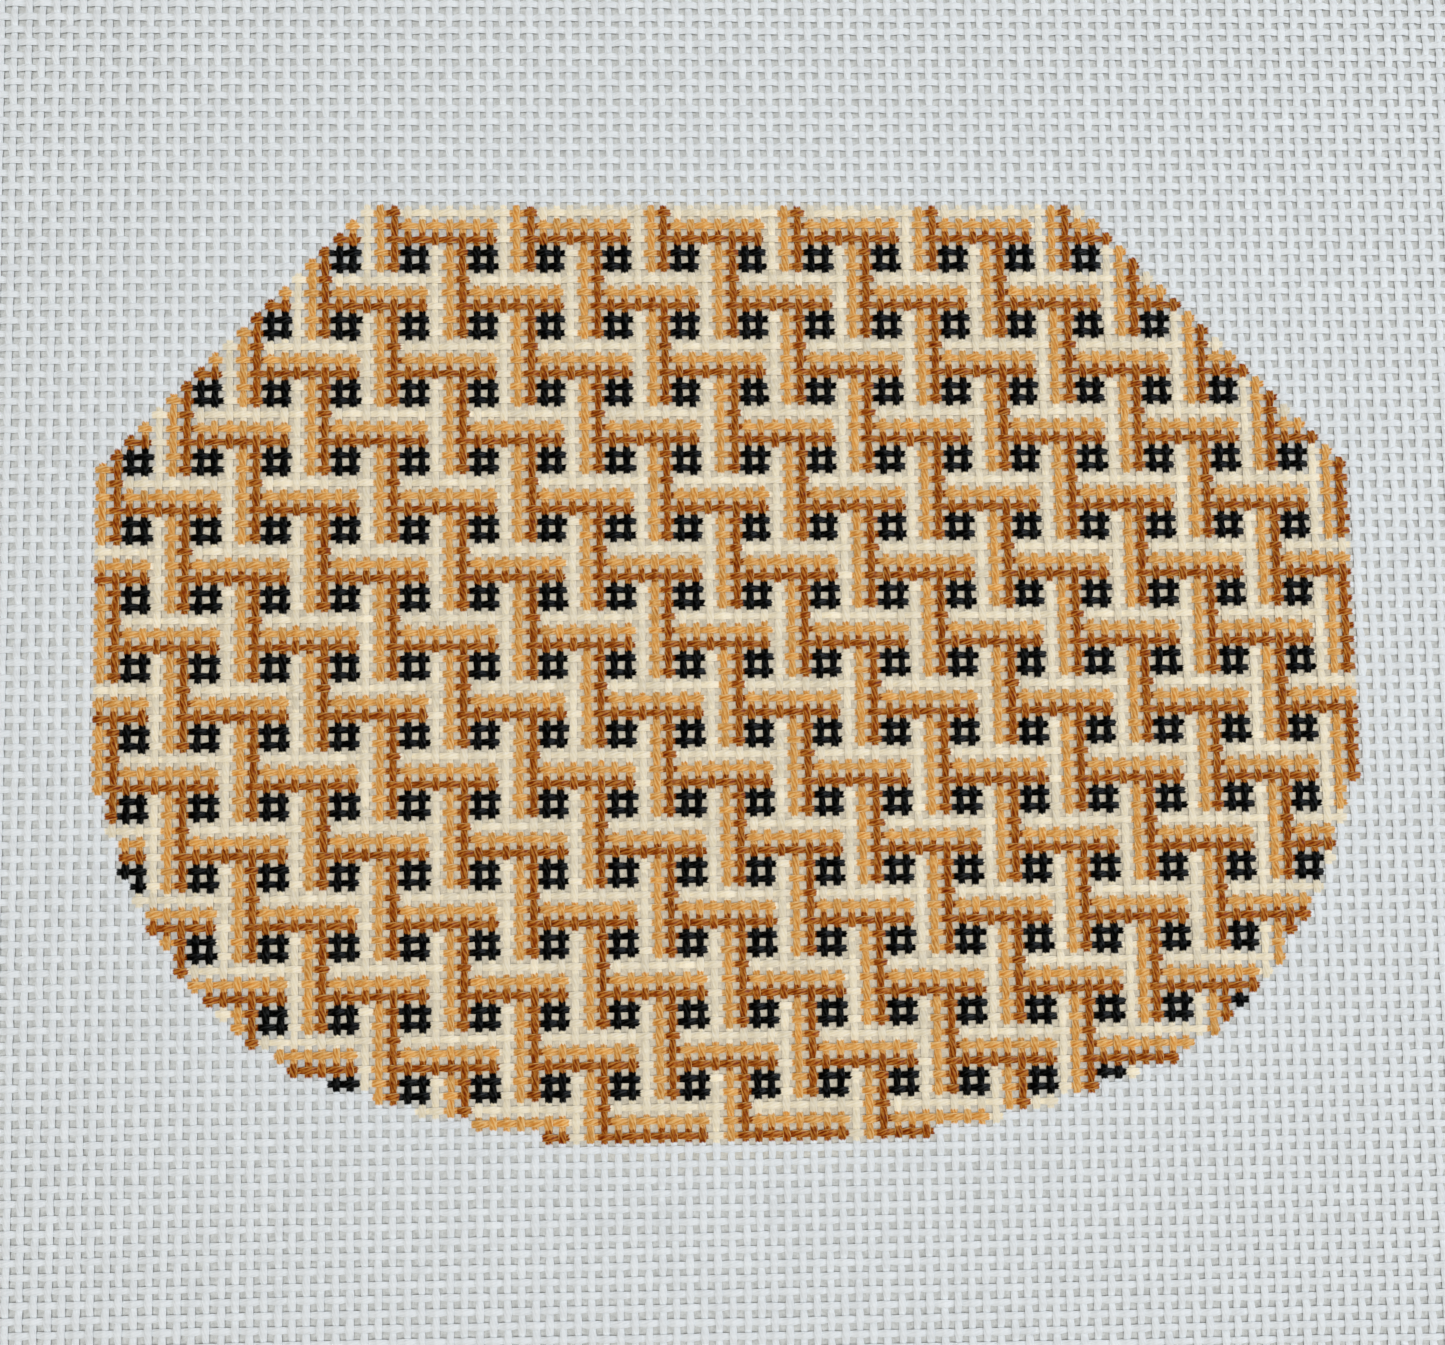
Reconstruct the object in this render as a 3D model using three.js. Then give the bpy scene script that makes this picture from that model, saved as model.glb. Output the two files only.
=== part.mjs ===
// A painted needlepoint canvas: one flat rectangle cut from stiff, open, plain-woven cotton canvas,
// lying face up with its painted field in the middle of a bare margin.
// Millimetres, +Z up. The origin is the middle of the underside. +X runs along the painted field's
// width and +Y towards its straight top edge.

import * as THREE from 'three';

// Driving dimensions
const MILLIMETRES_PER_INCH = 25.4;
const WARPS_PER_INCH = 13; // the gauge of the canvas: upright threads to the inch
const WEFT_PITCH = 1.97; // spacing of the cross threads, a little wider than that of the warps
const FIELD_WARPS = 92; // upright threads under the painted field where it is widest
const FIELD_WEFTS = 68; // cross threads under the painted field where it is tallest
const MARGIN_INCHES = 2; // bare canvas kept on every side, to tack to a stretcher frame
const THREAD_THICKNESS = 0.5; // a thread is pressed flatter than it is wide
const LAYERS_AT_A_CROSSING = 2; // one thread lies over another

// Sizes worked out from whole threads: the raw edges are cut midway between two threads.
const warpPitch = MILLIMETRES_PER_INCH / WARPS_PER_INCH;
const marginThreads = MARGIN_INCHES * WARPS_PER_INCH;
const cutWidth = (FIELD_WARPS + 2 * marginThreads) * warpPitch;
const cutHeight = (FIELD_WEFTS + 2 * marginThreads) * WEFT_PITCH;
const canvasThickness = LAYERS_AT_A_CROSSING * THREAD_THICKNESS;

// A rectangle of the cut size, centred on the origin.
function cutOutline(width, height) {
  const outline = new THREE.Shape();
  outline.moveTo(-width / 2, -height / 2);
  outline.lineTo(width / 2, -height / 2);
  outline.lineTo(width / 2, height / 2);
  outline.lineTo(-width / 2, height / 2);
  outline.closePath();
  return outline;
}

// The cloth is one flat sheet resting on its underside. Its gaps between threads, about a
// millimetre wide, are too fine to be cut through the solid.
function canvasSheet() {
  const geometry = new THREE.ExtrudeGeometry(cutOutline(cutWidth, cutHeight), {
    depth: canvasThickness,
    bevelEnabled: false,
  });
  const sizedCotton = new THREE.MeshStandardMaterial({ color: 0xe4e8e9, roughness: 0.85, metalness: 0 });
  const sheet = new THREE.Mesh(geometry, sizedCotton);
  sheet.name = 'canvas';
  return sheet;
}

const needlepointCanvas = new THREE.Group();
needlepointCanvas.add(canvasSheet());

export default needlepointCanvas;
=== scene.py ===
import bpy
import numpy as np
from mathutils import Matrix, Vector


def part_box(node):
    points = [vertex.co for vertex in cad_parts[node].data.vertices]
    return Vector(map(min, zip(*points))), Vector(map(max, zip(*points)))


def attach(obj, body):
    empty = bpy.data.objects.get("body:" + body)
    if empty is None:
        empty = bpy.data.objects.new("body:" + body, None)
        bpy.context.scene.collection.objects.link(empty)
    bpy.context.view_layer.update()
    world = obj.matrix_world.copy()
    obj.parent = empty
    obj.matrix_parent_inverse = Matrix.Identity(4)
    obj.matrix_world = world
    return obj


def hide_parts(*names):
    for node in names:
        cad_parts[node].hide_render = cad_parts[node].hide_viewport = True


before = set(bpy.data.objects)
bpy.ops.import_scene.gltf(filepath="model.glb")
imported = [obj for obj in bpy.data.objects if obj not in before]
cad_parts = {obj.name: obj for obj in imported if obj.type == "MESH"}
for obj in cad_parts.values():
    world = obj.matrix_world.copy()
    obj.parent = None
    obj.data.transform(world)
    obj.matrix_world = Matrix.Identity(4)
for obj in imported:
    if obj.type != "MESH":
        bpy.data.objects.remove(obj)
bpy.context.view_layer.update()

# Warp threads
# The upright threads of the canvas: stiff cotton cords of a few twisted plies, sized and pressed flat,
# woven over and under every cross thread. Paint is brushed on after weaving. The ends are raw cuts.

MM = 0.001
WARPS = 144  # upright threads across the panel
WEFTS = 120  # cross threads down the panel
BANDS = 6  # the threads of each direction are kept as this many pieces
MARGIN_THREADS = 26  # bare threads on every side of the painted field
FIELD_WARPS = WARPS - 2 * MARGIN_THREADS
FIELD_WEFTS = WEFTS - 2 * MARGIN_THREADS
WARP_WIDTH = 1.01 * MM
FLOAT_REACH = 0.21  # a thread lies level this far to each side of a crossing, in pitches
FLOAT_SPREAD = 0.07  # a thread is wider by this share where it floats, and narrower where it dives
CUT_RAGGED = 0.35 * MM  # how unevenly the scissors left the thread ends
THREAD_SHIFT = 0.045 * MM  # how far a thread strays from its even place
THREAD_WOBBLE = 0.018 * MM  # how far it strays from its own line at each ring of its mesh
THREAD_SLUB, RING_SLUB = 0.03, 0.035  # uneven width of whole threads, and along each one
SWELLS = ((95, 0.08), (41, 0.05), (17, 0.04))  # wavelength in threads, and size in millimetres
WAVERS = ((63, 0.04), (29, 0.03), (11, 0.02))  # wavelength in crossings, and size in millimetres

# Corners of a thread's section as shares of its width and thickness, from its right side over the top.
RING = np.array([(0.5, 0.0), (0.36, 0.5), (-0.36, 0.5), (-0.5, 0.0), (-0.36, -0.5), (0.36, -0.5)])
RING_SIDES = len(RING)
# Sideways and upward parts of the direction in which each corner shades. The sides lean upwards, because
# light soaks through the edges of a white cord and softens them.
RING_FACING = np.array([(1, 2), (0.4, 1), (-0.4, 1), (-1, 2), (-0.5, -1), (0.5, -1)])
FLOAT_ROUND = 1.7  # a float shades rounder along the thread than its few rings are
THREAD_START = 200  # UV map thread starts each thread this many crossings on from the last one

canvas_low, canvas_high = (np.array(corner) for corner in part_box("canvas"))
cut_width, cut_height, canvas_thickness = canvas_high - canvas_low
warp_pitch = cut_width / WARPS
weft_pitch = cut_height / WEFTS
thread_thickness = canvas_thickness / 2
middle_height = canvas_low[2] + canvas_thickness / 2
chance = np.random.default_rng(13)  # the same draws in every run


def uneven_spacing(threads, crossings):
    """Sideways offset of each thread at each crossing: an own offset for the thread, a slow swell across
    neighbouring threads, and a gentle waver along the thread, as sums of sine waves of random phase."""
    own = chance.normal(0, THREAD_SHIFT, (threads, 1))
    thread, crossing = np.arange(threads)[:, None], np.arange(crossings)[None, :]
    swell = np.zeros((threads, 1))
    for wavelength, size in SWELLS:
        swell = swell + size * MM * np.sin(2 * np.pi * (thread / wavelength + chance.random()))
    waver = np.zeros((threads, crossings))
    for wavelength, size in WAVERS:
        phase = chance.random((threads, 1))
        waver = waver + size * MM * np.sin(2 * np.pi * (crossing / wavelength + phase))
    return own + swell + waver


# Places of the crossings, as arrays of rows from the top edge and columns from the left one.
crossing_x = canvas_low[0] + (np.arange(WARPS) + 0.5)[None, :] * warp_pitch + uneven_spacing(WARPS, WEFTS).T
crossing_y = canvas_high[1] - (np.arange(WEFTS) + 0.5)[:, None] * weft_pitch + uneven_spacing(WEFTS, WARPS)
weft_over = (np.arange(WEFTS)[:, None] + np.arange(WARPS)[None, :]) % 2 == 1

BARE, CREAM, TAN, BROWN, BLACK = range(5)
PAINT_HEX = ("#e0e5e5", "#e9dfc3", "#d79c4f", "#994d0c", "#080908")
FIBRE_CONTRAST = (0.2, 0.35, 0.65, 0.9, 0.8)  # how boldly each paint shows the twisted fibres
BARE_UNEVEN, PAINT_UNEVEN = 0.02, 0.05  # how far each crossing's brightness strays, as a share
CHANGE_UNEVEN = 0.035  # how far the place where two paints meet strays, in pitches
WARP_PAINTED_SHADE = 0.98  # painted shade: paint on the warps is drawn a little deeper than on the wefts, whose slopes catch the light
WARP_BLACK_LAP = 0.05  # how far black laps over its neighbours, in pitches


def linear(hex_colour):
    """An sRGB hex colour as linear red, green and blue."""
    srgb = np.array([int(hex_colour[i : i + 2], 16) for i in (1, 3, 5)]) / 255
    return np.where(srgb <= 0.04045, srgb / 12.92, ((srgb + 0.055) / 1.055) ** 2.4)


def cane_tones(column, row):
    """The tone painted on each crossing, counted from the field's left column and top row.

    Cane strips three threads wide, two threads apart, run down and across, each shaded cream, tan and
    brown from one edge to the other. Crossing strips pass over and under by turns, and the gaps between
    strips are black. Half the field's width grows by a thread a row below its straight top edge, stays
    full, and then follows the round end of a superellipse, but for four rows that were painted a thread
    further at both ends."""
    strip_tone = np.array([CREAM, TAN, BROWN, BLACK, BLACK])
    repeat = len(strip_tone)
    cut_off = 1  # threads of the first strip that fall outside the field's left side
    down_strip, down_place = np.divmod(column + cut_off, repeat)
    across_strip, across_place = np.divmod(row, repeat)
    down_tone, across_tone = strip_tone[down_place], strip_tone[across_place]
    down_on_top = (down_strip + across_strip) % 2 == 0
    on_both = (down_tone != BLACK) & (across_tone != BLACK)
    on_down_only = across_tone == BLACK
    tone = np.where(on_both, np.where(down_on_top, down_tone, across_tone), across_tone)
    tone = np.where(on_down_only, down_tone, tone)

    top_half_width, full_half_width = 27, FIELD_WARPS / 2
    round_half_width, round_start, round_depth, roundness = 46.3, 31, 36.5, 2.6
    further_rows = (59, 60, 62, 67)
    depth = np.clip((row - round_start) / round_depth, 0, 1)
    rounded = round_half_width * (1 - depth**roundness) ** (1 / roundness)
    half_width = np.round(np.minimum(np.minimum(top_half_width + row, full_half_width), rounded))
    half_width = half_width + np.isin(row, further_rows)
    inside = (np.abs(column - (FIELD_WARPS - 1) / 2) < half_width) & (row >= 0) & (row < FIELD_WEFTS)
    return np.where(inside, tone, BARE)


tones = cane_tones(np.arange(WARPS)[None, :] - MARGIN_THREADS, np.arange(WEFTS)[:, None] - MARGIN_THREADS)


def brushed_paint(tone, black_lap, painted_light):
    """Paint along threads: linear colour with fibre contrast at each crossing, and where it changes.

    The colour of a crossing's tone is scaled by the painted light, deeper on the warps as painted shade and
    paler on the wefts as painted sheen, and a little more or less from dab to dab.
    Between two crossings the paint changes about midway, given as a share of the pitch. Black went on
    last, so it laps over its neighbours."""
    colour = np.array([linear(paint) for paint in PAINT_HEX])[tone]
    dab = np.where(tone == BARE, 1 + BARE_UNEVEN * chance.normal(0, 1, tone.shape),
                   painted_light + PAINT_UNEVEN * chance.normal(0, 1, tone.shape))
    colour = np.clip(colour * dab[..., None], 0, 1)
    contrast = np.array(FIBRE_CONTRAST)[tone]
    black = (tone == BLACK).astype(float)
    change = 0.5 + black_lap * (black[:, :-1] - black[:, 1:])
    change = change + CHANGE_UNEVEN * chance.normal(0, 1, change.shape)
    return np.concatenate([colour, contrast[..., None]], axis=2), change


def thread_mesh(name, along_axis, side_axis, along, side, over, ends, pitch, width, paint, change):
    """Woven threads as closed tubes: a flattened six-sided ring carried along each thread's path.

    Every crossing gives the path two rings, a float's reach before and after it, raised where the thread
    passes over and lowered where it passes under, so it floats level and slopes between crossings. It is
    a little wider where it floats. UV map thread counts crossings along the thread, from a new start for
    each thread, and turns round it. UV map OFBake lays each thread out as two strips of an atlas. Each
    face holds the paint of the crossing it comes from and of the one it goes to, and where they meet."""
    threads, crossings = along.shape
    reach = FLOAT_REACH * np.array([-1, 1])
    ring_along = (along[:, :, None] + reach * pitch).reshape(threads, -1)
    ring_along = np.hstack([ends[0], ring_along, ends[1]])
    rings = ring_along.shape[1]
    crossing_of_ring = np.clip((np.arange(rings) - 1) // 2, 0, crossings - 1)
    ring_side = side[:, crossing_of_ring] + chance.normal(0, THREAD_WOBBLE, (threads, rings))
    lift = np.where(over, 1.0, -1.0)[:, crossing_of_ring]
    lift[:, [0, -1]] = 0
    ring_height = middle_height + lift * thread_thickness / 2
    slub = chance.normal(0, THREAD_SLUB, (threads, 1)) + chance.normal(0, RING_SLUB, (threads, rings))
    ring_width = width * (1 + slub + FLOAT_SPREAD * lift)

    axes = np.array([along_axis, side_axis, (0, 0, 1)], float)
    sideways = ring_side[..., None] + ring_width[..., None] * RING[:, 0]
    upward = ring_height[..., None] + thread_thickness * RING[:, 1]
    points = np.stack(np.broadcast_arrays(ring_along[..., None], sideways, upward), -1) @ axes
    slope = np.zeros((threads, rings))
    slope[:, 1:-1] = (ring_height[:, 2:] - ring_height[:, :-2]) / (ring_along[:, 2:] - ring_along[:, :-2])
    facing_side, facing_up = RING_FACING.T
    facing = np.broadcast_arrays(-FLOAT_ROUND * slope[..., None] * facing_up, facing_side, facing_up)
    facing = np.stack(facing, -1) @ axes
    facing = facing / np.linalg.norm(facing, axis=-1, keepdims=True)
    edge = (np.roll(RING, -1, axis=0) - RING) * (width, thread_thickness)
    turn = np.hstack([0, np.cumsum(np.hypot(*edge.T))])
    turn = turn / turn[-1]
    angle = 2 * np.pi * turn[:-1]

    thread, ring, corner = np.ix_(np.arange(threads), np.arange(rings - 1), np.arange(RING_SIDES))

    def quad_corners(value_at):
        """A value at the four corners of every quad, worked out from the corner's ring and side."""
        four = (value_at(ring, corner), value_at(ring + 1, corner), value_at(ring + 1, corner + 1),
                value_at(ring, corner + 1))
        shape = (threads, rings - 1, RING_SIDES)
        return np.stack([np.broadcast_to(v, shape) for v in four], -1).reshape(-1, 4)

    quads = quad_corners(lambda r, c: (thread * rings + r) * RING_SIDES + c % RING_SIDES)
    first_ring = np.arange(threads)[:, None] * rings * RING_SIDES + np.arange(RING_SIDES)
    last_ring = first_ring + (rings - 1) * RING_SIDES
    caps = np.vstack([first_ring, last_ring[:, ::-1]])

    ring_u = (np.arange(crossings)[:, None] + reach).ravel()
    ring_u = np.hstack([-0.5, ring_u, crossings - 0.5])
    ring_u = THREAD_START * (1 + np.arange(threads))[:, None] + ring_u[None, :]
    thread_u = quad_corners(lambda r, c: ring_u[thread, r])
    thread_v = quad_corners(lambda r, c: turn[c])
    cap_u = np.repeat(np.hstack([ring_u[:, 0], ring_u[:, -1]])[:, None], RING_SIDES, 1)
    cap_v = np.tile(turn[:-1], (2 * threads, 1))

    strips = 2
    end_pad, row_pad = 0.006, 0.06  # left free at the ends of a strip, and above and below it in its row
    cap_reach_u, cap_reach_v = end_pad / 3, 0.3  # half the size of an end cap, which lies in an end pad
    strip_rings = (rings - 1) / strips
    strip = np.minimum(ring // strip_rings, strips - 1)
    row_height = 1 / (threads * strips)
    row = thread * strips + strip
    strip_width, strip_height = 1 - 2 * end_pad, 1 - 2 * row_pad
    bake_u = quad_corners(lambda r, c: end_pad + strip_width * (r - strip * strip_rings) / strip_rings)
    bake_v = quad_corners(lambda r, c: (row + row_pad + strip_height * c / RING_SIDES) * row_height)
    cap_row = np.hstack([np.arange(threads) * strips, np.arange(threads) * strips + strips - 1])[:, None]
    cap_centre = np.repeat([end_pad / 2, 1 - end_pad / 2], threads)[:, None]
    cap_bake_u = cap_centre + cap_reach_u * np.cos(angle)
    cap_bake_v = (cap_row + 0.5 + cap_reach_v * np.sin(angle)) * row_height

    mesh = bpy.data.meshes.new(name)
    mesh.vertices.add(points.size // 3)
    mesh.vertices.foreach_set("co", points.astype(np.float32).ravel())
    corners = np.hstack([quads.ravel(), caps.ravel()]).astype(np.int32)
    sizes = np.hstack([np.full(len(quads), 4), np.full(len(caps), RING_SIDES)]).astype(np.int32)
    mesh.loops.add(len(corners))
    mesh.loops.foreach_set("vertex_index", corners)
    mesh.polygons.add(len(sizes))
    mesh.polygons.foreach_set("loop_start", (np.cumsum(sizes) - sizes).astype(np.int32))
    mesh.polygons.foreach_set("loop_total", sizes)
    mesh.polygons.foreach_set("use_smooth", sizes == 4)
    for map_name, u, v, end_u, end_v in (
        ("thread", thread_u, thread_v, cap_u, cap_v),
        ("OFBake", bake_u, bake_v, cap_bake_u, cap_bake_v),
    ):
        places = np.stack([np.hstack([u.ravel(), end_u.ravel()]), np.hstack([v.ravel(), end_v.ravel()])], 1)
        mesh.uv_layers.new(name=map_name).data.foreach_set("uv", places.astype(np.float32).ravel())
    stretch = np.arange(rings - 1)  # of a thread, from one ring to the next
    for attribute, crossing in (("paint_from", (stretch - 1) // 2), ("paint_to", stretch // 2)):
        worn = paint[:, np.clip(crossing, 0, crossings - 1)]
        worn = np.repeat(worn, RING_SIDES, axis=1).reshape(-1, 4)
        worn = np.vstack([worn, paint[:, 0], paint[:, -1]])
        stored = mesh.attributes.new(attribute, "FLOAT_COLOR", "FACE")
        stored.data.foreach_set("color", worn.astype(np.float32).ravel())
    meets = np.repeat(change[:, np.clip((stretch - 1) // 2, 0, crossings - 2)], RING_SIDES, axis=1)
    meets = np.hstack([meets.ravel(), np.full(2 * threads, 0.5)])
    mesh.attributes.new("paint_change", "FLOAT", "FACE").data.foreach_set("value", meets.astype(np.float32))
    mesh.update()
    end_facing = np.repeat([-axes[0], axes[0]], threads * RING_SIDES, axis=0)
    corner_facing = np.vstack([facing.reshape(-1, 3)[quads.ravel()], end_facing])
    mesh.normals_split_custom_set(corner_facing.astype(np.float32))
    return mesh


def add_node(tree, kind, settings, inputs):
    """Adds a shader node with its settings. An input is set to a value, or linked where it is given a
    socket or a node, which stands for its first working output."""
    node = tree.nodes.new(kind)
    for name, value in settings.items():
        setattr(node, name, value)
    for key, value in inputs.items():
        if isinstance(value, bpy.types.Node):
            value = next(socket for socket in value.outputs if socket.enabled)
        if isinstance(value, bpy.types.NodeSocket):
            tree.links.new(value, node.inputs[key])
        else:
            node.inputs[key].default_value = value
    return node


# Sized cotton cord of five plies, brushed by hand with thin acrylic. The eye sees short twisted streaks,
# rich in the grooves and pale on the raised fibres, partly from the paint and partly as painted shade and
# highlight, a faint sheen from the window and painted on the flanks that face it, and bare thread on the
# underside.
PLIES = 5
TWIST_LENGTH = 7.2 * MM  # of thread for one turn of its plies
FIBRES_ROUND, FIBRE_LENGTH = 22, 1.2 * MM  # coarser than real fibres, so that they show
DABS_ROUND, DAB_LENGTH = 8, 0.75 * MM  # patches of thicker and thinner paint
PAINTED_LIGHT_LEAN = (0.28, 0.16, 0.0)  # painted light and shade: paler on flanks facing the upper right, where the light is, and deeper on those facing the lower left
FIBRE_PALES, DAB_PALES, PLY_PALES = 1.4, 2.2, 0.7  # how much each pales the paint where it stands high; on plies and fibres this is partly a painted highlight, with painted shade in the grooves
THINNEST = 0.7  # the power that stands for the thinnest paint on top of a thread
EDGE_WANDER, EDGE_SOFT = 0.25, 0.13  # of the line where two paints meet, in pitches
SIDES_PALE_PAINT_AND_GLOW = 0.5  # how much paler the sides of a thread are drawn: thinner paint there, and painted light for the glow through a cord's edges
BLACK_LIGHT, COLOUR_LIGHT = 0.02, 0.08  # a paint darker than the first is black, and past the second isn't
REACH_STRAY = 2.0  # how much the dabs move the edge of the paint round a thread
REACH_LOW, REACH_HIGH = 0.1, 0.6  # no paint below the first, and full paint above the second
PLY_HEIGHT, FIBRE_HEIGHT = 0.6, 0.8  # shares of the relief
RELIEF, RELIEF_STRENGTH = 0.07 * MM, 0.8  # its depth, and how strongly it shades
COTTON_IOR = 1.5
SPECULAR_LEVEL = 0.3
BARE_ROUGHNESS, PAINT_ROUGHNESS = 0.85, 0.34
FULL_PAINT = 0.5  # the boldness from which a paint hides the cotton's own roughness

cotton = bpy.data.materials.new("painted_sized_cotton")
cotton.use_nodes = True
tree = cotton.node_tree
tree.nodes.clear()

# Two noises and a wave on the twisted thread give its fibres, its dabs of paint and its plies.
place = add_node(tree, "ShaderNodeUVMap", {"uv_map": "thread"}, {})
place = add_node(tree, "ShaderNodeSeparateXYZ", {}, {0: place})
along, turn = place.outputs["X"], place.outputs["Y"]
twist = add_node(tree, "ShaderNodeMath", {"operation": "MULTIPLY_ADD"},
                 {0: along, 1: -warp_pitch / TWIST_LENGTH, 2: turn})
angle = add_node(tree, "ShaderNodeMath", {"operation": "MULTIPLY"}, {0: twist, 1: 2 * np.pi})
cosine = add_node(tree, "ShaderNodeMath", {"operation": "COSINE"}, {0: angle})
sine = add_node(tree, "ShaderNodeMath", {"operation": "SINE"}, {0: angle})
twisted = add_node(tree, "ShaderNodeCombineXYZ", {}, {0: cosine, 1: sine, 2: along})
fibre_size = (FIBRES_ROUND / (2 * np.pi), FIBRES_ROUND / (2 * np.pi), warp_pitch / FIBRE_LENGTH)
fibres = add_node(tree, "ShaderNodeVectorMath", {"operation": "MULTIPLY"}, {0: twisted, 1: fibre_size})
fibres = add_node(tree, "ShaderNodeTexNoise", {},
                  {"Vector": fibres, "Scale": 1.0, "Detail": 2.0, "Roughness": 0.6})
dab_size = (DABS_ROUND / (2 * np.pi), DABS_ROUND / (2 * np.pi), warp_pitch / DAB_LENGTH)
dabs = add_node(tree, "ShaderNodeVectorMath", {"operation": "MULTIPLY"}, {0: twisted, 1: dab_size})
dabs = add_node(tree, "ShaderNodeTexNoise", {},
                {"Vector": dabs, "Scale": 1.0, "Detail": 1.0, "Roughness": 0.6})
ply = add_node(tree, "ShaderNodeMath", {"operation": "MULTIPLY"}, {0: twist, 1: np.pi * PLIES})
ply = add_node(tree, "ShaderNodeMath", {"operation": "SINE"}, {0: ply})
ply = add_node(tree, "ShaderNodeMath", {"operation": "ABSOLUTE"}, {0: ply})

# The paint changes between two crossings, along an edge that wanders with the dabs. A Mix node takes its
# two colours as inputs 6 and 7, and its two numbers as inputs 2 and 3.
meets = add_node(tree, "ShaderNodeAttribute", {"attribute_name": "paint_change"}, {})
past = add_node(tree, "ShaderNodeMath", {"operation": "FRACT"}, {0: along})
past = add_node(tree, "ShaderNodeMath", {"operation": "SUBTRACT"}, {0: past, 1: meets.outputs["Fac"]})
past = add_node(tree, "ShaderNodeMath", {"operation": "MULTIPLY_ADD"}, {0: dabs, 1: EDGE_WANDER, 2: past})
changed = add_node(tree, "ShaderNodeMapRange", {"interpolation_type": "SMOOTHSTEP"},
                   {"Value": past, "From Min": (EDGE_WANDER - EDGE_SOFT) / 2,
                    "From Max": (EDGE_WANDER + EDGE_SOFT) / 2})
before = add_node(tree, "ShaderNodeAttribute", {"attribute_name": "paint_from"}, {})
after = add_node(tree, "ShaderNodeAttribute", {"attribute_name": "paint_to"}, {})
paint = add_node(tree, "ShaderNodeMix", {"data_type": "RGBA"},
                 {0: changed, 6: before.outputs["Color"], 7: after.outputs["Color"]})
boldness = add_node(tree, "ShaderNodeMix", {"data_type": "FLOAT"},
                    {0: changed, 2: before.outputs["Alpha"], 3: after.outputs["Alpha"]})

# Thick paint deepens its colour and thin paint pales it, which a power of the colour gives. The same power
# also carries painted light and shade: paler on raised plies and fibres and on flanks facing the upper
# right, deeper in the grooves and on flanks facing the lower left. It is measured from the usual height of
# the fibres, dabs and plies, where the power is 1.
surface = add_node(tree, "ShaderNodeNewGeometry", {}, {})
# Painted light and shade: flanks facing the upper right are drawn paler, and those facing the lower left
# deeper.
lean = add_node(tree, "ShaderNodeVectorMath", {"operation": "DOT_PRODUCT"},
                {0: surface.outputs["Normal"], 1: PAINTED_LIGHT_LEAN})
usual = 0.5 * FIBRE_PALES + 0.5 * DAB_PALES + 2 / np.pi * PLY_PALES
thin_paint_and_light = add_node(tree, "ShaderNodeMath", {"operation": "MULTIPLY_ADD"},
                {0: fibres, 1: FIBRE_PALES, 2: -usual})
thin_paint_and_light = add_node(tree, "ShaderNodeMath", {"operation": "MULTIPLY_ADD"}, {0: dabs, 1: DAB_PALES, 2: thin_paint_and_light})
thin_paint_and_light = add_node(tree, "ShaderNodeMath", {"operation": "MULTIPLY_ADD"}, {0: ply, 1: PLY_PALES, 2: thin_paint_and_light})
thin_paint_and_light = add_node(tree, "ShaderNodeMath", {"operation": "ADD"}, {0: thin_paint_and_light, 1: lean})
thick_paint_and_shade = add_node(tree, "ShaderNodeMath", {"operation": "MULTIPLY"}, {0: thin_paint_and_light, 1: boldness})
thick_paint_and_shade = add_node(tree, "ShaderNodeMath", {"operation": "SUBTRACT"}, {0: 1.0, 1: thick_paint_and_shade})
thick_paint_and_shade = add_node(tree, "ShaderNodeMath", {"operation": "MAXIMUM"}, {0: thick_paint_and_shade, 1: THINNEST})

# The sides of a thread are drawn paler, but for black, which went on thick: partly thinner paint, and
# partly painted light for the glow through a cord's translucent edges.
upward = add_node(tree, "ShaderNodeMath", {"operation": "MULTIPLY"}, {0: turn, 1: 2 * np.pi})
upward = add_node(tree, "ShaderNodeMath", {"operation": "SINE"}, {0: upward})
sideways = add_node(tree, "ShaderNodeMath", {"operation": "ABSOLUTE"}, {0: upward})
sideways = add_node(tree, "ShaderNodeMath", {"operation": "SUBTRACT"}, {0: 1.0, 1: sideways})
light = add_node(tree, "ShaderNodeRGBToBW", {}, {0: paint})
spread = add_node(tree, "ShaderNodeMapRange", {},
                  {"Value": light, "From Min": BLACK_LIGHT, "From Max": COLOUR_LIGHT, "To Max": SIDES_PALE_PAINT_AND_GLOW})
spread = add_node(tree, "ShaderNodeMath", {"operation": "MULTIPLY"}, {0: spread, 1: sideways})
spread = add_node(tree, "ShaderNodeMath", {"operation": "MULTIPLY"}, {0: spread, 1: boldness})
thick_paint_and_shade = add_node(tree, "ShaderNodeMath", {"operation": "SUBTRACT"}, {0: thick_paint_and_shade, 1: spread})
paint_with_painted_shade = add_node(tree, "ShaderNodeGamma", {}, {0: paint, 1: thick_paint_and_shade})

# The brush reached the top and the sides of a thread, and little of its underside.
reach = add_node(tree, "ShaderNodeMath", {"operation": "MULTIPLY_ADD"},
                 {0: dabs, 1: REACH_STRAY, 2: upward})
reached = add_node(tree, "ShaderNodeMapRange", {"interpolation_type": "SMOOTHSTEP"},
                   {"Value": reach, "From Min": REACH_LOW, "From Max": REACH_HIGH})
colour = add_node(tree, "ShaderNodeMix", {"data_type": "RGBA"},
                  {0: reached, 6: (*linear(PAINT_HEX[BARE]), 1), 7: paint_with_painted_shade})

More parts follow.
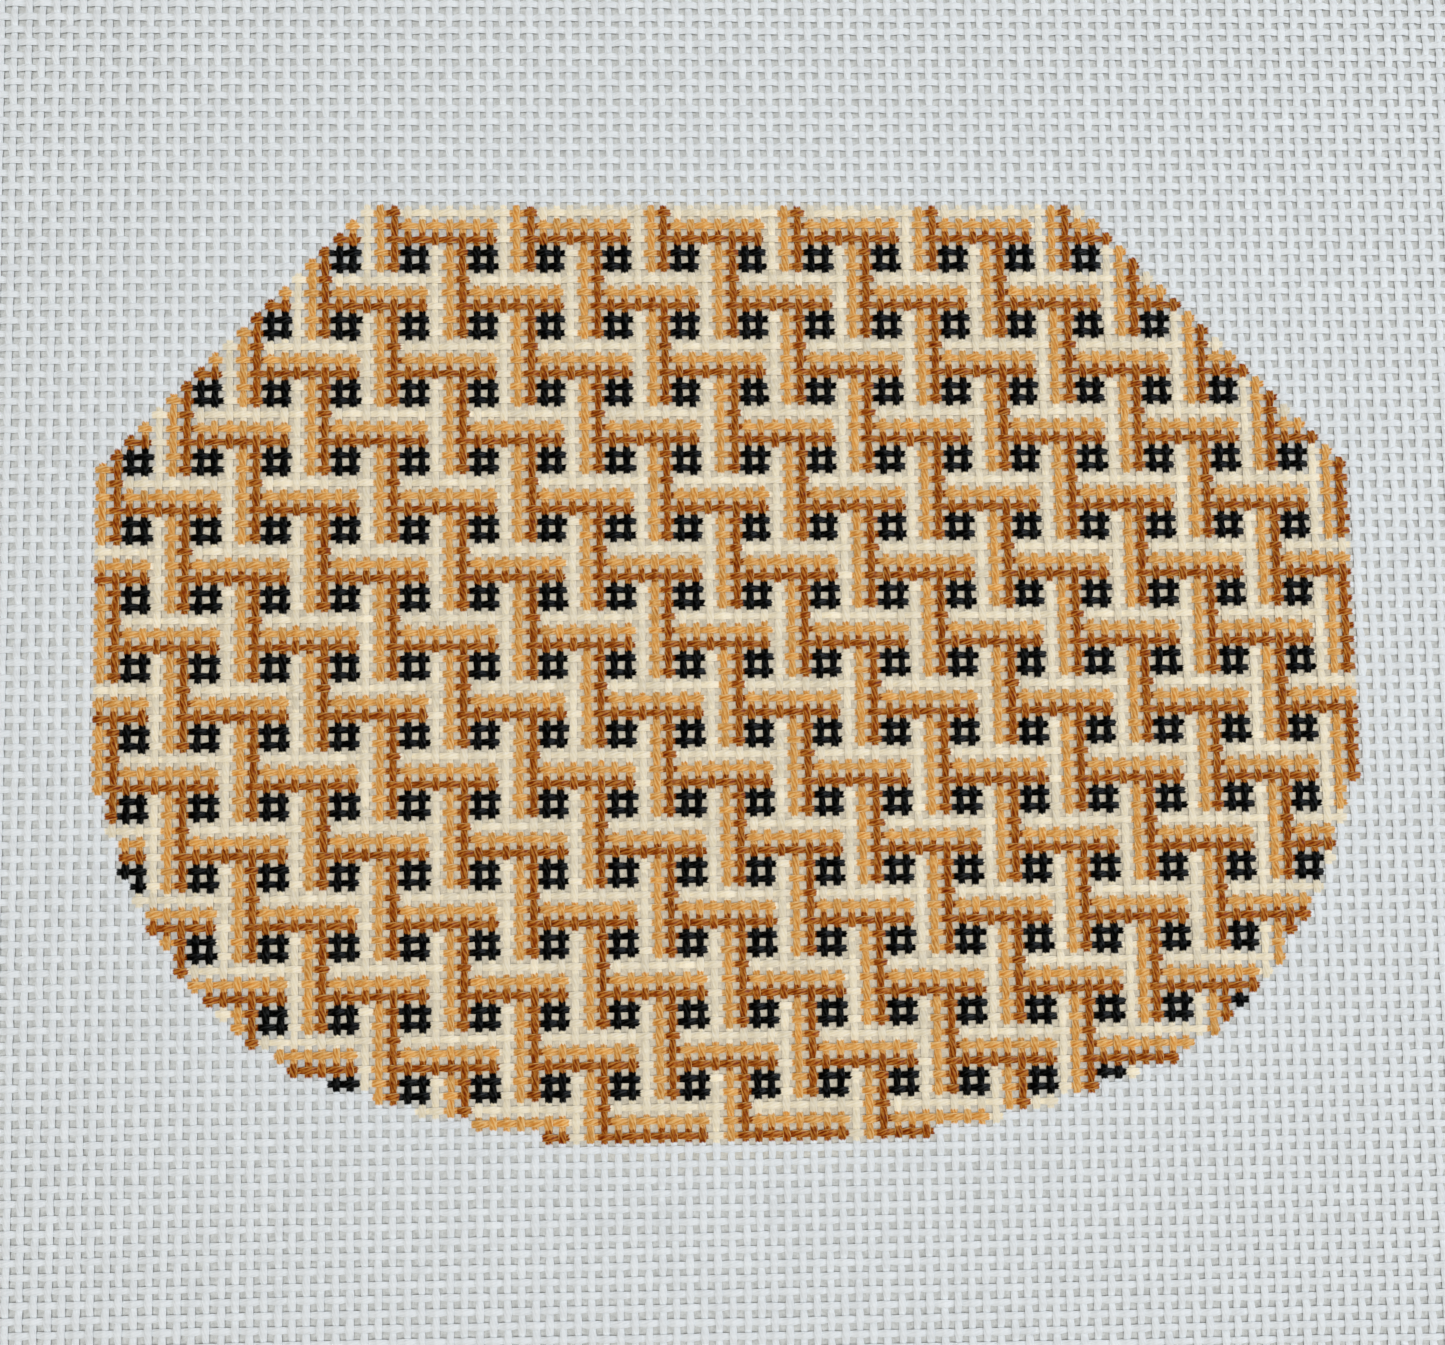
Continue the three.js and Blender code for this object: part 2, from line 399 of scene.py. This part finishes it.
# Plies and fibres stand up as fine relief, and paint dries smoother than bare cotton.
relief = add_node(tree, "ShaderNodeMath", {"operation": "MULTIPLY"}, {0: ply, 1: PLY_HEIGHT})
relief = add_node(tree, "ShaderNodeMath", {"operation": "MULTIPLY_ADD"},
                  {0: fibres, 1: FIBRE_HEIGHT, 2: relief})
bump = add_node(tree, "ShaderNodeBump", {},
                {"Strength": RELIEF_STRENGTH, "Distance": RELIEF, "Height": relief})
roughness = add_node(tree, "ShaderNodeMapRange", {},
                     {"Value": boldness, "From Min": FIBRE_CONTRAST[BARE], "From Max": FULL_PAINT,
                      "To Min": BARE_ROUGHNESS, "To Max": PAINT_ROUGHNESS})
shader = add_node(tree, "ShaderNodeBsdfPrincipled", {},
                  {"Base Color": colour, "Roughness": roughness, "IOR": COTTON_IOR, "Normal": bump,
                   "Specular IOR Level": SPECULAR_LEVEL})
add_node(tree, "ShaderNodeOutputMaterial", {}, {"Surface": shader})


def add_band(name, mesh):
    """Puts a band of threads in the scene on the root body, with the cotton material, and hides the canvas
    part it stands for.
    """
    mesh.materials.append(cotton)
    band = bpy.data.objects.new(name, mesh)
    bpy.context.scene.collection.objects.link(band)
    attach(band, "root")
    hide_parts("canvas")


def cut_ends(low, high, threads):
    """Where the scissors ended each thread, as a column for the low end and one for the high end."""
    ragged = chance.random((2, threads, 1)) * CUT_RAGGED
    return low + ragged[0], high - ragged[1]


# The arrays of crossings are turned, so that each row of them is one warp from bottom to top.
warp_paint, warp_change = brushed_paint(tones.T[:, ::-1], WARP_BLACK_LAP, WARP_PAINTED_SHADE)
warp_along = crossing_y.T[:, ::-1]
warp_side = crossing_x.T[:, ::-1]
warp_over = ~weft_over.T[:, ::-1]
warps_a_band = WARPS // BANDS
for band in range(BANDS):
    chosen = slice(band * warps_a_band, (band + 1) * warps_a_band)
    name = f"warp_threads_{band + 1}"
    ends = cut_ends(canvas_low[1], canvas_high[1], warps_a_band)
    mesh = thread_mesh(name, (0, 1, 0), (1, 0, 0), warp_along[chosen], warp_side[chosen], warp_over[chosen],
                       ends, weft_pitch, WARP_WIDTH, warp_paint[chosen], warp_change[chosen])
    add_band(name, mesh)

# Weft threads
# The cross threads: the same sized cotton cord, beaten in over and under the warps a little wider apart.
# The weave alone holds them, and their ends are cut raw along the panel's two sides.

WEFT_WIDTH = 0.955 * MM
# painted sheen: paint on the wefts is drawn a little paler, as light on their slopes makes it
WEFT_PAINTED_SHEEN = 1.02
WEFT_BLACK_LAP = 0.1

weft_paint, weft_change = brushed_paint(tones, WEFT_BLACK_LAP, WEFT_PAINTED_SHEEN)
wefts_a_band = WEFTS // BANDS
for band in range(BANDS):
    chosen = slice(band * wefts_a_band, (band + 1) * wefts_a_band)
    name = f"weft_threads_{band + 1}"
    ends = cut_ends(canvas_low[0], canvas_high[0], wefts_a_band)
    mesh = thread_mesh(name, (1, 0, 0), (0, -1, 0), crossing_x[chosen], -crossing_y[chosen],
                       weft_over[chosen], ends, warp_pitch, WEFT_WIDTH, weft_paint[chosen],
                       weft_change[chosen])
    add_band(name, mesh)

# Table
# A plain pale table top under the canvas, matte, seen through the gaps of the weave. It is not part of
# the object.

TABLE_SIZE = 2.2  # metres
TABLE_GAP = 0.02 * MM  # keeps its face apart from the undersides of the threads
half_table = TABLE_SIZE / 2
table_height = canvas_low[2] - TABLE_GAP
table_mesh = bpy.data.meshes.new("table")
table_corners = [(-half_table, -half_table, table_height), (half_table, -half_table, table_height),
                 (half_table, half_table, table_height), (-half_table, half_table, table_height)]
table_mesh.from_pydata(table_corners, [], [(0, 1, 2, 3)])
table = bpy.data.objects.new("table", table_mesh)
bpy.context.scene.collection.objects.link(table)

# A matte pale laminate with fine grain. Below the painted field it is drawn a little warmer: painted light,
# standing in for the light that the paint tints as it comes down through the gaps.
PLAIN_HEX = ("#b9bbb6", "#dadcd8")  # the dark and the pale of the grain
PAINTED_BOUNCE_HEX = ("#c4bdaa", "#e7dec6")
GRAIN_SIZE = 0.7 * MM
GRAIN_DARK, GRAIN_PALE = 0.3, 0.7  # of the noise that draws the grain
FIELD_REACH = np.array((92.0, 70.0)) * MM  # a little over half the field's width and height
WARM_END, PLAIN_START = 0.9, 1.05  # shares of the field's reach
LAMINATE_ROUGHNESS = 0.8

pale_table = bpy.data.materials.new("pale_matte_laminate")
pale_table.use_nodes = True
tree = pale_table.node_tree
place = add_node(tree, "ShaderNodeTexCoord", {}, {}).outputs["Object"]
grain = add_node(tree, "ShaderNodeTexNoise", {},
                 {"Vector": place, "Scale": 1 / GRAIN_SIZE, "Detail": 2.0, "Roughness": 0.7})
grain = add_node(tree, "ShaderNodeMapRange", {},
                 {"Value": grain, "From Min": GRAIN_DARK, "From Max": GRAIN_PALE})
plain, painted_bounce = (
    add_node(tree, "ShaderNodeMix", {"data_type": "RGBA"},
             {0: grain, 6: (*linear(dark), 1), 7: (*linear(pale), 1)})
    for dark, pale in (PLAIN_HEX, PAINTED_BOUNCE_HEX)
)
far = add_node(tree, "ShaderNodeVectorMath", {"operation": "MULTIPLY"},
               {0: place, 1: (*1 / FIELD_REACH, 0.0)})
far = add_node(tree, "ShaderNodeVectorMath", {"operation": "LENGTH"}, {0: far})
far = add_node(tree, "ShaderNodeMapRange", {"interpolation_type": "SMOOTHSTEP"},
               {"Value": far, "From Min": WARM_END, "From Max": PLAIN_START})
colour = add_node(tree, "ShaderNodeMix", {"data_type": "RGBA"}, {0: far, 6: painted_bounce, 7: plain})
shader = tree.nodes["Principled BSDF"]
shader.inputs["Roughness"].default_value = LAMINATE_ROUGHNESS
tree.links.new(colour.outputs[2], shader.inputs["Base Color"])
table_mesh.materials.append(pale_table)

# Daylight
# Soft light from overhead, a little from all round, and a window to the right that puts a faint sheen on
# the slopes of the threads that face it. Past the table's edge there is a plain pale backdrop.

SKY_HEX, SKY_STRENGTH = "#fff0e0", 0.24
BACKDROP_HEX, BACKDROP_STRENGTH = "#d4d5d1", 1.0

world = bpy.data.worlds.new("soft_daylight")
world.use_nodes = True
tree = world.node_tree
tree.nodes.clear()
sky = add_node(tree, "ShaderNodeBackground", {},
               {"Color": (*linear(SKY_HEX), 1), "Strength": SKY_STRENGTH})
backdrop = add_node(tree, "ShaderNodeBackground", {},
                    {"Color": (*linear(BACKDROP_HEX), 1), "Strength": BACKDROP_STRENGTH})
ray = add_node(tree, "ShaderNodeLightPath", {}, {})
seen = add_node(tree, "ShaderNodeMixShader", {}, {0: ray.outputs["Is Camera Ray"], 1: sky, 2: backdrop})
add_node(tree, "ShaderNodeOutputWorld", {}, {"Surface": seen})
bpy.context.scene.world = world
world.cycles_visibility.glossy = False


def soft_light(name, place, size, energy, hex_colour):
    """A square area light at a place, turned to face the middle of the panel."""
    data = bpy.data.lights.new(name, "AREA")
    data.shape = "SQUARE"
    data.size = size
    data.energy = energy
    data.color = linear(hex_colour)
    lamp = bpy.data.objects.new(name, data)
    bpy.context.scene.collection.objects.link(lamp)
    lamp.location = place
    lamp.rotation_euler = lamp.location.to_track_quat("Z", "Y").to_euler()
    return lamp


soft_light("window", place=(0.6, 0.2, 0.5), size=0.4, energy=1.68, hex_colour="#dbe9ff")
overhead = soft_light("overhead", place=(-0.1, -0.28, 2.4), size=1.0, energy=43.5, hex_colour="#fafbff")
overhead.visible_glossy = False

# Camera
# It looks down on the panel from a hand's reach above it, leaning a little towards the viewer and to the
# left, so that the panel fills the frame and its edges lie outside it.

CAMERA_PLACE = np.array((-17.68, -44.52, 359.4)) * MM  # above the middle of the weave
CAMERA_TURN = np.radians((6.90, -2.52, -0.81))
LENS = 63.46  # millimetres, as the film's width is
FILM_WIDTH = 36.0
NEAREST = 10 * MM

camera_data = bpy.data.cameras.new("camera")
camera_data.lens = LENS
camera_data.sensor_width = FILM_WIDTH
camera_data.clip_start = NEAREST
camera = bpy.data.objects.new("camera", camera_data)
bpy.context.scene.collection.objects.link(camera)
camera.location = CAMERA_PLACE + np.array((0, 0, middle_height))
camera.rotation_euler = CAMERA_TURN
bpy.context.scene.camera = camera
bpy.context.scene.view_settings.view_transform = "Standard"
